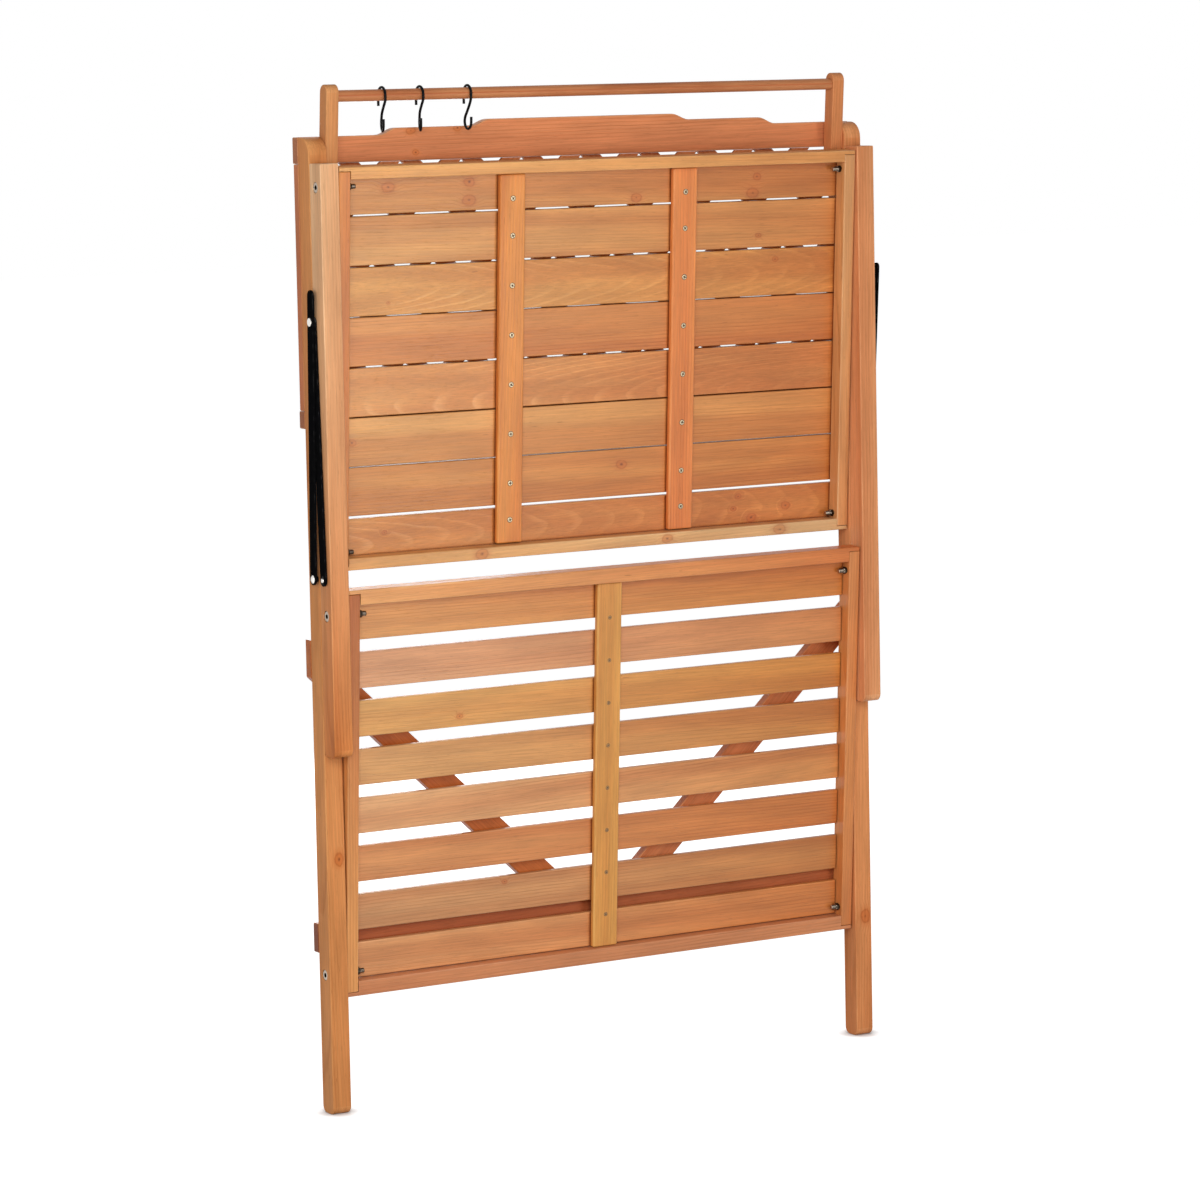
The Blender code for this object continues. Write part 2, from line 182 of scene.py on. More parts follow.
def knotRamp(tree, distance):
    reach = knotStops[-1][0]
    made = addNode(tree, "ShaderNodeValToRGB", {0: calc(tree, "DIVIDE", distance, reach)})
    steps = made.color_ramp.elements
    while len(steps) < len(knotStops):
        steps.new(0.5)
    for step, (far, colour, share) in zip(steps, knotStops):
        step.position = far / reach
        step.color = (*colour, share)
    return made.outputs


def lateWoodLines(tree, grain, near):
    # The late wood of the growth rings, which wander and swirl round the knots.
    place = split(tree, grain)
    drift = split(tree, grainNoise(tree, grain, "drift", "Color"))
    wave = split(tree, grainNoise(tree, grain, "wave", "Color"))
    side = calc(tree, "MULTIPLY_ADD", drift[0], wood["wander"], place[1])
    side = calc(tree, "MULTIPLY_ADD", wave[0], wood["ripple"], side)
    deep = calc(tree, "MULTIPLY_ADD", drift[1], wood["wander"], place[2])
    deep = calc(tree, "MULTIPLY_ADD", wave[1], wood["ripple"], deep)
    swirl = ramp(tree, near, 3.0, 0.6, 0.0, wood["knotSwirl"])
    radius = calc(tree, "ADD", swirl, spanOf(tree, side, deep))
    ring = calc(tree, "FRACT", calc(tree, "DIVIDE", radius, wood["ringSpacing"]))
    line = times(tree, ramp(tree, ring, 0.6, 0.9), ramp(tree, ring, 1.0, 0.92))
    return times(tree, line, ramp(tree, grainNoise(tree, grain, "fading"), 0.36, 0.66, 0.12, 1.0))


def woodMaterial(name, shine, honey, russet, endShade=0.4, creviceShade=False):
    made, tree, shader = newMaterial(name)
    grain = readAttribute(tree, "grain")
    near = nearestKnot(tree, grain)
    lateWood = lateWoodLines(tree, grain, near)
    patch = grainNoise(tree, grain, "patch")
    fibre = grainNoise(tree, grain, "fibre")
    pores = ramp(tree, grainNoise(tree, grain, "pore"), 0.63, 0.74)

    # Stain, late wood, flecks of resin, knots and rubbed edges.
    colour = blendColour(tree, ramp(tree, grainNoise(tree, grain, "band"), 0.34, 0.68), honey, russet)
    lined = blendColour(tree, 1.0, colour, readAttribute(tree, "ringTint", "Color"), "MULTIPLY")
    colour = blendColour(tree, lateWood, colour, lined)
    resin = ramp(tree, grainNoise(tree, grain, "resin"), 0.7, 0.77)
    cluster = ramp(tree, grainNoise(tree, grain, "cluster"), 0.56, 0.68)
    colour = blendColour(tree, times(tree, times(tree, resin, cluster), 0.5), colour, wood["fleckColour"])
    knot = knotRamp(tree, near)
    colour = blendColour(tree, knot["Alpha"], colour, knot["Color"])
    rubbed = times(tree, readAttribute(tree, "arris", "Fac"), ramp(tree, patch, 0.35, 0.65, 0.08, 0.36))
    colour = blendColour(tree, rubbed, colour, wood["edgeColour"])

    # Fine light and dark, end grain and the piece's tone, which on some pieces also carries painted light and
    # shade.
    shade = times(tree, ramp(tree, fibre, 0.25, 0.75, 0.89, 1.09), ramp(tree, patch, 0.28, 0.72, 0.91, 1.09))
    shade = times(tree, shade, calc(tree, "MULTIPLY_ADD", pores, -0.18, 1.0))
    endGrain = readAttribute(tree, "endGrain", "Fac")
    shade = times(tree, shade, calc(tree, "MULTIPLY_ADD", endGrain, -endShade, 1.0))
    grey = addNode(tree, "ShaderNodeCombineColor", {0: shade, 1: shade, 2: shade}).outputs[0]
    colour = blendColour(tree, 1.0, colour, grey, "MULTIPLY")
    colour = blendColour(tree, 1.0, colour, readAttribute(tree, "tone", "Color"), "MULTIPLY")
    if creviceShade:
        # Painted shade: the colour darkens where a board meets its frame, as far as the frame hems it in.
        reach = {"Distance": wood["creviceShadeReach"]}
        unshaded = addNode(tree, "ShaderNodeAmbientOcclusion", reach, samples=6).outputs["AO"]
        creviceShaded = blendColour(tree, 1.0, colour, wood["creviceShadeColour"], "MULTIPLY")
        colour = blendColour(tree, ramp(tree, unshaded, 0.4, 0.95), creviceShaded, colour)
    tree.links.new(colour, shader.inputs["Base Color"])

    gloss = calc(tree, "MULTIPLY_ADD", fibre, 0.14, wood["roughness"] - 0.05)
    tree.links.new(calc(tree, "MULTIPLY_ADD", lateWood, -0.06, gloss), shader.inputs["Roughness"])
    height = calc(tree, "ADD", times(tree, fibre, 0.7), times(tree, lateWood, 0.5))
    addBump(tree, shader, calc(tree, "MULTIPLY_ADD", pores, -0.5, height), 0.5, wood["grainDepth"])
    shader.inputs["Specular IOR Level"].default_value = shine
    return made


# Each finish: shine, pale and dark stain, how dark its end grain is and whether painted shade darkens its
# crevices.
looks = {
    "leg_wood": woodMaterial("legFir", 0.04, (0.68, 0.3, 0.113, 1), (0.58, 0.22, 0.076, 1), 0.08),
    "board_wood": woodMaterial("boardFir", 0.34, (0.675, 0.27, 0.082, 1), (0.56, 0.19, 0.052, 1), 0.3, True),
    "rail_wood": woodMaterial("railFir", 0.3, (0.7, 0.285, 0.088, 1), (0.59, 0.205, 0.06, 1)),
    "back_wood": woodMaterial("backFir", 0.1, (0.6, 0.21, 0.08, 1), (0.51, 0.155, 0.056, 1)),
    "slat_wood": woodMaterial("slatFir", 0.34, (0.665, 0.3, 0.1, 1), (0.55, 0.21, 0.064, 1), 0.3, True),
}

metal = {
    "zincColour": (0.8, 0.77, 0.72, 1),
    "zincRoughness": 0.2,
    # Painted shade on the sides of plated heads, washers and nuts.
    "zincSideShade": (0.035, 0.027, 0.02, 1),
    "boltColour": (0.42, 0.35, 0.28, 1),
    "boltRoughness": 0.3,
    "screwColour": (0.38, 0.31, 0.2, 1),
    "screwRoughness": 0.34,
    "screwSideShade": (0.09, 0.045, 0.02, 1),
    "oldScrewColour": (0.3, 0.17, 0.07, 1),
    "oldScrewRoughness": 0.4,
    # Painted shade in the screws' countersinks and slots.
    "recessShadeColour": (0.035, 0.017, 0.008, 1),
    "recessShadeMottle": (0.077, 0.0374, 0.0176, 1),
    "blackColour": (0.004, 0.004, 0.0045, 1),
    "blackRoughness": 0.4,
    "blackShine": 0.06,
    "stayShine": 0.0,
    "wornColour": (0.1, 0.097, 0.094, 1),
}


def metalNoise(tree, scale, detail):
    place = addNode(tree, "ShaderNodeTexCoord").outputs["Object"]
    return noiseOf(tree, place, scale, detail)["Fac"]


def zincMaterial(name, plating, rim):
    made, tree, shader = newMaterial(name)
    cloud = metalNoise(tree, (420.0, 420.0, 420.0), 3.0)
    # Painted shade: the sides of a head, a washer or a nut are darker than its ends, mottled by the cloud.
    shadedSides = ramp(tree, calc(tree, "MULTIPLY_ADD", cloud, 0.3, readAttribute(tree, "flank", "Fac")), 0.25, 0.85)
    colour = blendColour(tree, shadedSides, metal[plating + "Colour"], metal[rim])
    tree.links.new(colour, shader.inputs["Base Color"])
    spread = calc(tree, "MULTIPLY_ADD", cloud, 0.22, metal[plating + "Roughness"] - 0.08)
    tree.links.new(spread, shader.inputs["Roughness"])
    addBump(tree, shader, metalNoise(tree, (2600.0, 300.0, 900.0), 2.0), 0.25, 0.00008)
    shader.inputs["Metallic"].default_value = 1.0
    return made


def blackMaterial(name, shine):
    made, tree, shader = newMaterial(name)
    grit = metalNoise(tree, (1500.0, 1500.0, 1500.0), 2.0)
    worn = metalNoise(tree, (180.0, 180.0, 180.0), 3.0)
    share = times(tree, readAttribute(tree, "arris", "Fac"), ramp(tree, worn, 0.5, 0.66, 0.0, 0.4))
    share = calc(tree, "ADD", share, ramp(tree, worn, 0.35, 0.8, 0.0, 0.02))
    colour = blendColour(tree, share, metal["blackColour"], metal["wornColour"])
    tree.links.new(colour, shader.inputs["Base Color"])
    spread = calc(tree, "MULTIPLY_ADD", grit, 0.2, metal["blackRoughness"] - 0.1)
    tree.links.new(spread, shader.inputs["Roughness"])
    addBump(tree, shader, grit, 0.3, 0.00012)
    shader.inputs["Specular IOR Level"].default_value = shine
    return made


# Painted shade for the countersink ring and the slot, mottled.
def recessShadeMaterial(name):
    made, tree, shader = newMaterial(name)
    mottle = metalNoise(tree, (900.0, 900.0, 900.0), 2.0)
    colour = blendColour(tree, ramp(tree, mottle, 0.35, 0.7), metal["recessShadeColour"], metal["recessShadeMottle"])
    tree.links.new(colour, shader.inputs["Base Color"])
    tree.links.new(calc(tree, "MULTIPLY_ADD", mottle, 0.2, 0.5), shader.inputs["Roughness"])
    return made


looks["zinc_steel"] = zincMaterial("zincPlate", "zinc", "zincSideShade")
looks["black_steel"] = blackMaterial("blackPaint", metal["blackShine"])
boltLook = zincMaterial("dullZinc", "bolt", "zincSideShade")
stayLook = blackMaterial("stayPaint", metal["stayShine"])
screwLook = zincMaterial("yellowZinc", "screw", "screwSideShade")
oldScrewLook = zincMaterial("brownZinc", "oldScrew", "screwSideShade")
recessShadeLook = recessShadeMaterial("screwRecessShade")
print("stage: materials made")


# Pieces from the frame's own shapes: merged, rounded along their edges and given their grain.
edges = {"mergeWithin": 2e-6, "flatWithin": 0.4, "cornerOver": 30.0, "segments": 2}  # metres, degrees


def settle(obj):
    # Bakes the piece's modifiers into one plain mesh.
    bpy.context.view_layer.update()
    ready = bpy.data.meshes.new_from_object(obj.evaluated_get(bpy.context.evaluated_depsgraph_get()))
    obj.modifiers.clear()
    obj.data = ready
    return obj


def newPiece(name, mesh):
    obj = bpy.data.objects.new(name, mesh)
    bpy.context.scene.collection.objects.link(obj)
    return obj


def smoothNormals(obj):
    obj.data.shade_smooth()
    even = obj.modifiers.new("evenNormals", "WEIGHTED_NORMAL")
    even.weight = 100
    even.keep_sharp = True
    return settle(obj)


def roundedCopy(node, rounding):
    mesh = bpy.data.meshes.new(node + "_look")
    work = bmesh.new()
    work.from_mesh(frame["nodes"][node].data)
    bmesh.ops.remove_doubles(work, verts=work.verts, dist=edges["mergeWithin"])
    flat = math.radians(edges["flatWithin"])
    bmesh.ops.dissolve_limit(work, angle_limit=flat, verts=work.verts, edges=work.edges)
    sharp = math.radians(edges["cornerOver"])
    corners = [edge for edge in work.edges if len(edge.link_faces) == 2 and edge.calc_face_angle() > sharp]
    bmesh.ops.bevel(
        work, geom=corners, offset=rounding * mm, offset_type="OFFSET", segments=edges["segments"],
        profile=0.5, affect="EDGES", clamp_overlap=True,
    )
    bmesh.ops.remove_doubles(work, verts=work.verts, dist=edges["mergeWithin"])
    bmesh.ops.recalc_face_normals(work, faces=work.faces)
    work.to_mesh(mesh)
    work.free()
    return smoothNormals(newPiece(node + "_look", mesh))


def writeAttribute(mesh, name, kind, domain, values):
    made = mesh.attributes.new(name, kind, domain)
    field = {"FLOAT": "value", "FLOAT_VECTOR": "vector", "FLOAT_COLOR": "color"}[kind]
    made.data.foreach_set(field, [v for value in values for v in (value if kind != "FLOAT" else (value,))])


# The late wood takes the stain badly on flat sawn boards, so its lines are pale there.
ringTints = {"flat": (1.17, 1.28, 1.37), "rift": (0.87, 0.78, 0.69)}
noLightFade = (0.0, 0.0, 0.0)
noKnot = (9.0, 9.0, 0.001)
stripShift = 2.7  # from one lattice strip's grain to the next


def giveGrain(obj, axes, tone, cut, knots=(), lightFade=noLightFade, stripPitch=0.0):
    # axes are the directions along, across and through the grain.
    mesh = obj.data
    points = [vertex.co for vertex in mesh.vertices]
    low = Vector([min(point[i] for point in points) for i in range(3)])
    high = Vector([max(point[i] for point in points) for i in range(3)])
    middle = (low + high) / 2
    spots = [Vector([(point - middle).dot(axis) for axis in axes]) for point in points]
    start = dice.uniform(0, 60)
    flat = cut == "flat"
    aside = dice.uniform(-0.02, 0.02) if flat else dice.choice((-1, 1)) * dice.uniform(0.05, 0.12)
    below = dice.uniform(0.022, 0.06) if flat else dice.uniform(-0.02, 0.02)
    slope = dice.uniform(-0.03, 0.03)
    rise = dice.choice((-1, 1)) * (dice.uniform(0.05, 0.1) if flat else dice.uniform(0.0, 0.02))
    grains = []
    for spot in spots:
        strip = round(spot.y / stripPitch) if stripPitch else 0
        grains.append((
            start + spot.x + strip * stripShift,
            aside + spot.y - strip * stripPitch + slope * spot.x,
            below + spot.z + rise * spot.x,
        ))
    reach = max(abs(spot.x) for spot in spots)
    # Painted light: the tone grows paler towards one end of the piece and darker towards the other.
    tones = [[t * (1 - f * spot.x / reach) for t, f in zip(tone, lightFade)] + [1.0] for spot in spots]
    writeAttribute(mesh, "spot", "FLOAT_VECTOR", "POINT", spots)
    writeAttribute(mesh, "grain", "FLOAT_VECTOR", "POINT", grains)
    writeAttribute(mesh, "tone", "FLOAT_COLOR", "POINT", tones)
    writeAttribute(mesh, "ringTint", "FLOAT_COLOR", "POINT", [(*ringTints[cut], 1.0)] * len(points))
    marks = list(knots) + [noKnot] * (len(knotLetters) - len(knots))
    for letter, mark in zip(knotLetters, marks):
        writeAttribute(mesh, "knot" + letter, "FLOAT_VECTOR", "POINT", [mark] * len(points))
    squareness = [[abs(face.normal.dot(axis)) for axis in axes] for face in mesh.polygons]
    arris = [0.0 if max(square) > 0.995 else 1.0 for square in squareness]
    endGrain = [max(0.0, (square[0] - 0.5) * 2) for square in squareness]
    writeAttribute(mesh, "arris", "FLOAT", "FACE", arris)
    writeAttribute(mesh, "endGrain", "FLOAT", "FACE", endGrain)


def markEdges(obj):
    # Where the surface bends, for worn paint.
    flat = [max(abs(v) for v in face.normal) > 0.98 for face in obj.data.polygons]
    writeAttribute(obj.data, "arris", "FLOAT", "FACE", [0.0 if f else 1.0 for f in flat])


def dress(obj, look, nodes=(), body=None):
    obj.data.materials.clear()
    for material in (look if isinstance(look, (list, tuple)) else [look]):
        obj.data.materials.append(material)
    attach(obj, body or bodyOf[nodes[0]])
    if nodes:
        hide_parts(*nodes)
    return obj


xAxis, yAxis, zAxis = Vector((1, 0, 0)), Vector((0, 1, 0)), Vector((0, 0, 1))
backSlants = {"uprightLean": 4.858, "braceDrop": 321.0, "braceRun": 337.0}  # degrees, mm


def leaning(degrees):
    turn = Matrix.Rotation(math.radians(degrees), 3, "X")
    return turn @ zAxis, turn @ yAxis


def falling(angle):
    # Along and across a brace that falls towards the right.
    return Vector((math.cos(angle), 0, -math.sin(angle))), Vector((math.sin(angle), 0, math.cos(angle)))


panelTilt = 90 - joints["table_top"]["range_deg"][1]  # the table is level when it is fully open
panelUp, panelOut = leaning(panelTilt)
postUp, postOut = leaning(backSlants["uprightLean"])
bracePitch = math.atan2(backSlants["braceDrop"], backSlants["braceRun"])
grainAxes = {
    "upright": (zAxis, xAxis, yAxis),
    "level": (xAxis, zAxis, yAxis),
    "panelLevel": (xAxis, panelUp, panelOut),
    "panelUp": (panelUp, xAxis, panelOut),
    "post": (postUp, xAxis, postOut),
    "braceLeft": (*falling(bracePitch), yAxis),
    "braceRight": (*falling(-bracePitch), yAxis),
}

# Each wooden node: finish, grain direction, tone against its finish and edge rounding in mm.
woodPieces = {
    "rear_leg_left": ("leg_wood", "upright", (1.0, 0.95, 0.85), 0.45),
    "rear_leg_right": ("leg_wood", "upright", (1.1, 1.0, 1.0), 0.45),
    "front_leg_left": ("leg_wood", "upright", (1.1, 1.25, 1.55), 0.45),
    "front_leg_right": ("leg_wood", "upright", (1.15, 1.15, 1.35), 0.45),
    "crest_board": ("back_wood", "level", (1.15, 1.2, 1.3), 0.4),
    "lattice_side_left": ("back_wood", "upright", (1.0, 1.0, 1.0), 0.35),
    "lattice_side_right": ("back_wood", "upright", (0.95, 0.95, 0.95), 0.35),
    "lattice_bottom_rail": ("back_wood", "level", (1.0, 1.0, 1.0), 0.4),
    # Painted shade: this rail's tone is darkened for the shadow of the shelf in front of it.
    "lower_back_rail": ("back_wood", "level", (0.7, 0.55, 0.5), 0.4),
    "brace_left": ("back_wood", "braceLeft", (0.95, 0.75, 0.5), 0.4),
    "brace_right": ("back_wood", "braceRight", (1.15, 1.15, 1.15), 0.4),
    "bar_upright_left": ("leg_wood", "post", (1.0, 1.0, 1.0), 0.45),
    "bar_upright_right": ("leg_wood", "post", (1.0, 0.85, 0.85), 0.45),
    "hook_bar": ("back_wood", "level", (0.85, 0.8, 0.8), 0.3),
    "table_front_rail": ("rail_wood", "panelLevel", (1.1, 1.3, 1.3), 0.5),
    "table_rear_rail": ("rail_wood", "panelLevel", (1.0, 1.35, 1.75), 0.5),
    "table_stile_left": ("rail_wood", "panelUp", (0.9, 0.8, 0.6), 0.45),
    "table_stile_right": ("rail_wood", "panelUp", (1.05, 1.3, 1.6), 0.45),
    "table_batten_left": ("rail_wood", "panelUp", (1.05, 0.95, 0.65), 0.6),
    "table_batten_right": ("rail_wood", "panelUp", (1.1, 0.9, 0.75), 0.6),
    "shelf_front_rail": ("rail_wood", "panelLevel", (1.05, 1.1, 1.15), 0.5),
    "shelf_rear_rail": ("rail_wood", "panelLevel", (0.85, 0.8, 1.05), 0.5),
    "shelf_stile_left": ("rail_wood", "panelUp", (0.9, 0.9, 0.85), 0.45),
    "shelf_stile_right": ("rail_wood", "panelUp", (0.95, 0.85, 0.8), 0.45),
    "shelf_batten": ("rail_wood", "panelUp", (1.05, 1.25, 0.95), 0.6),
}
boardTones = (
    (0.9, 0.95, 0.9),
    (0.95, 1.05, 1.05),
    (0.95, 1.0, 0.85),
    (0.95, 0.9, 0.8),
    (0.95, 0.95, 0.9),
    (1.0, 1.1, 1.05),
    (0.95, 0.95, 0.8),
    (0.9, 0.85, 0.7),
)
slatTones = (
    (0.95, 0.85, 0.7),
    (1.0, 1.0, 1.3),
    (1.0, 1.0, 0.8),
    (0.95, 0.95, 0.9),
    (1.05, 1.1, 1.3),
    (0.95, 0.8, 0.75),
    (0.9, 0.9, 1.0),
    (1.05, 1.0, 1.05),
)
for number, tone in enumerate(boardTones, 1):
    woodPieces[f"table_board_{number}"] = ("board_wood", "panelLevel", tone, 0.45)
for number, tone in enumerate(slatTones, 1):
    woodPieces[f"shelf_slat_{number}"] = ("slat_wood", "panelLevel", tone, 0.45)
flatSawn = ("table_board_3", "table_board_5", "table_board_8")
# Painted light along the grain, by finish or node: the share of red, green and blue that the tone loses at the
# right or upper end and gains at the other. The paler end is painted sheen and the darker end painted shade.
lightFades = {
    "board_wood": (0.05, 0.18, 0.28),
    "slat_wood": (0.05, 0.2, 0.42),
    "front_leg_left": (-0.12, -0.38, -0.62),
    "table_rear_rail": (-0.04, -0.15, -0.32),
    "shelf_front_rail": (0.17, 0.44, 0.57),
    "shelf_stile_left": (0.28, 0.47, 0.6),
}
# Knots in mm: along and across the piece from its middle, and the radius.
knotMarks = {
    "rear_leg_left": [(-275, 4, 5.5)],
    "rear_leg_right": [(-430, 3, 6.0)],
    "crest_board": [(-238, 12, 4.0), (-174, 14, 3.5), (-232, -14, 3.0)],
    "lower_back_rail": [(196, 8, 4.0)],
    "table_rear_rail": [(-167, 0, 6.0), (96, 0, 5.0), (262, 0, 6.0)],
    "table_board_1": [(-288, 2, 6), (-178, 5, 5), (-178, -17, 6), (56, -22, 5), (225, -21, 6), (231, -1, 4)],
    "table_board_2": [(235, -14, 3.0)],
    "table_board_3": [(260, 16, 3.0), (-287, -14, 1.6)],
    "table_board_6": [(-335, 0, 4.0)],
    "table_board_7": [(40, 10, 5.0)],
    "table_board_8": [(232, -8, 5.0), (283, 4, 4.5), (212, 20, 3.0), (205, 5, 2.6), (-290, 10, 2.5)],
    "shelf_slat_3": [(-205, -9, 3.0)],
    "shelf_slat_7": [(-140, 15, 2.5)],
}
for node, (finish, direction, tone, rounding) in woodPieces.items():
    piece = roundedCopy(node, rounding)
    knots = [(along * mm, across * mm, radius * mm) for along, across, radius in knotMarks.get(node, ())]
    lightFade = lightFades.get(node, lightFades.get(finish, noLightFade))
    giveGrain(piece, grainAxes[direction], tone, "flat" if node in flatSawn else "rift", knots, lightFade)
    dress(piece, looks[finish], [node])
print("stage: wooden pieces made")

# Stays, in mm. The right one stands off its leg towards the top. The pins and rivets have bright heads.
stays = {
    "rounding": 0.45,
    "headRise": 0.25,
    "pinReach": 8.0,
    "pinShare": 0.5,
    "bowFrom": 860.0,
    "bowTo": 990.0,
    "bow": 12.5,
}


def outerFaceOf(mesh):
    # How far out the arm's broad outer face is.
    broad = [face for face in mesh.polygons if abs(face.normal.x) > 0.99]
    outward = [face for face in broad if face.center.x * face.normal.x > 0]
    return abs(max(outward, key=lambda face: face.area).center.x)


def finishStay(mesh, pivot, bow):
    headFrom = outerFaceOf(mesh) + stays["headRise"] * mm
    for face in mesh.polygons:
        face.material_index = 1 if abs(face.center.x) > headFrom else 0
    for vertex in mesh.vertices:
        out = vertex.co - pivot
        if abs(vertex.co.x) > headFrom and math.hypot(out.y, out.z) < stays["pinReach"] * mm:
            vertex.co.y = pivot.y + out.y * stays["pinShare"]
            vertex.co.z = pivot.z + out.z * stays["pinShare"]
        rise = max(0.0, vertex.co.z / mm - stays["bowFrom"]) / (stays["bowTo"] - stays["bowFrom"])
        vertex.co.x += bow * mm * rise ** 2


for place in ("rear", "front"):
    for side, bow in (("left", 0.0), ("right", stays["bow"])):
        node = f"stay_{place}_arm_{side}"
        piece = roundedCopy(node, stays["rounding"])
        markEdges(piece)
        dress(piece, [stayLook, looks["zinc_steel"]], [node])
        finishStay(piece.data, pivots[node], bow)
print("stage: stays made")


# Geometry Nodes helpers.
def newTree(name, inputs):
    tree = bpy.data.node_groups.new(name, "GeometryNodeTree")
    tree.interface.new_socket("Geometry", in_out="INPUT", socket_type="NodeSocketGeometry")
    for label, kind in inputs.items():
        tree.interface.new_socket(label, in_out="INPUT", socket_type="NodeSocket" + kind)
    tree.interface.new_socket("Geometry", in_out="OUTPUT", socket_type="NodeSocketGeometry")
    return tree, addNode(tree, "NodeGroupInput").outputs


def endTree(tree, shape):
    addNode(tree, "NodeGroupOutput", {"Geometry": shape})
    return tree


def makeReal(tree, shape, material):
    real = addNode(tree, "GeometryNodeRealizeInstances", {"Geometry": shape}).outputs[0]
    return addNode(tree, "GeometryNodeSetMaterial", {"Geometry": real, "Material": material}).outputs[0]


def copyOnto(tree, points, source, turn, material):
    shape = addNode(tree, "GeometryNodeObjectInfo", {"Object": source}).outputs["Geometry"]
    sockets = {"Points": points, "Instance": shape, "Rotation": turn}
    return makeReal(tree, addNode(tree, "GeometryNodeInstanceOnPoints", sockets).outputs[0], material)


def rowOfPoints(tree, inputs):
    sockets = {"Count": inputs["Count"], "Start Location": inputs["First"], "Offset": inputs["Step"]}
    return addNode(tree, "GeometryNodeMeshLine", sockets).outputs[0]


def turnBy(tree, angles):
    return addNode(tree, "FunctionNodeEulerToRotation", {0: angles}).outputs[0]


def randomSpin(tree, seed):
    sockets = {2: 0.0, 3: math.tau, "Seed": seed}
    return addNode(tree, "FunctionNodeRandomValue", sockets, data_type="FLOAT").outputs[1]


def joinAngles(tree, sockets):
    return addNode(tree, "ShaderNodeCombineXYZ", sockets).outputs[0]


def growPiece(name, mesh, tree, values):
    obj = newPiece(name, mesh)
    grown = obj.modifiers.new(tree.name, "NODES")
    grown.node_group = tree
    for item in tree.interface.items_tree:
        if item.in_out == "INPUT" and item.name in values:
            grown[item.identifier] = values[item.name]
    return settle(obj)


def pointMesh(name, points, joined=False):
    mesh = bpy.data.meshes.new(name)
    mesh.from_pydata(points, [(i, i + 1) for i in range(len(points) - 1)] if joined else [], [])
    return mesh


def latheMesh(name, rings):
    # Rings are lists of points of equal count, joined one after the other and capped at both ends.
    mesh = bpy.data.meshes.new(name)
    work = bmesh.new()
    made = [[work.verts.new(point) for point in ring] for ring in rings]
    count = len(rings[0])
    for before, after in zip(made, made[1:]):
        for i in range(count):
            j = (i + 1) % count
            work.faces.new((before[i], before[j], after[j], after[i]))
    work.faces.new(list(reversed(made[0])))
    work.faces.new(made[-1])
    bmesh.ops.recalc_face_normals(work, faces=work.faces)
    work.to_mesh(mesh)
    work.free()
    # Which faces are sides, where the plating gets painted shade.
    writeAttribute(mesh, "flank", "FLOAT", "FACE", [1 - abs(face.normal.x) for face in mesh.polygons])
    return mesh


def circle(x, radius, count=24):
    angles = [2 * math.pi * i / count for i in range(count)]
    return [(x, radius * math.cos(a), radius * math.sin(a)) for a in angles]


def hexagon(x, radius):
    points = []
    for _, y, z in circle(x, 1.0):
        a = math.atan2(z, y) % (2 * math.pi)
        flat = (a % (math.pi / 3)) - math.pi / 6
        r = radius * math.cos(math.pi / 6) / math.cos(flat)
        points.append((x, r * y, r * z))
    return points


# Countersunk screws through the battens, one for each board or slat, in mm. A dark ring round each head is
# painted shade for the countersink, and the cross slot is painted dark as shade too.
screws = {
    "headRadius": 3.0,
    "rimRadius": 3.6,
    "proud": 0.35,
    "slotLong": 2.2,
    "slotWide": 1.2,
}
# Where the rows are, up the panel and out from its pivots. The end screws are moved in from the even step.
screwRows = {
    "table_top": {
        "first": 430.6, "step": 60.325, "endInset": 15.3, "out": 1.0, "size": 1.0, "look": screwLook,
    },
    "shelf": {
        "first": 404.7, "step": 53.45, "endInset": 0.0, "out": -2.3, "size": 0.72, "look": oldScrewLook,
    },
}


def screwMesh(size):
    # The head's axis is X, and it faces -X. The slot is a cross.
    head, rim, proud, slotLong, slotWide = [screws[key] * size * mm for key in screws]
    ring = circle(0, 1.0, 32)
    slot = []
    for _, y, z in ring:
        offArm = abs((math.atan2(z, y) + math.pi / 4) % (math.pi / 2) - math.pi / 4)
        armEdge = slotWide / 2 / max(math.sin(offArm), 1e-3)
        far = min(slotLong, max(armEdge, slotWide * 0.95))
        slot.append((y * far, z * far))
    mesh = latheMesh("screwHead", [
        circle(0.2 * mm, rim, len(ring)),
        circle(-0.06 * mm, rim, len(ring)),
        circle(-0.08 * mm, head * 1.04, len(ring)),
        circle(-proud * 0.7, head, len(ring)),
        circle(-proud, head * 0.93, len(ring)),
        [(-proud * 1.02, y, z) for y, z in slot],
        [(-0.02 * mm, y * 0.8, z * 0.8) for y, z in slot],
    ])
    # Painted shade: the ring round the head, the slot's walls and its floor.
    recess = []
    for face in mesh.polygons:
        out = math.hypot(face.center.y, face.center.z)
        onRim = face.center.x > -0.09 * mm and out > head * 0.98
        slotWall = face.normal.x > -0.9 and out < slotLong * 0.99
        slotFloor = out < 0.3 * mm
        recess.append(1.0 if onRim or slotWall or slotFloor else 0.0)
    writeAttribute(mesh, "recess", "FLOAT", "FACE", recess)
    return mesh


def isNumber(tree, value, number):
    sockets = {0: value, 1: number}
    return addNode(tree, "FunctionNodeCompare", sockets, data_type="FLOAT", operation="EQUAL").outputs[0]


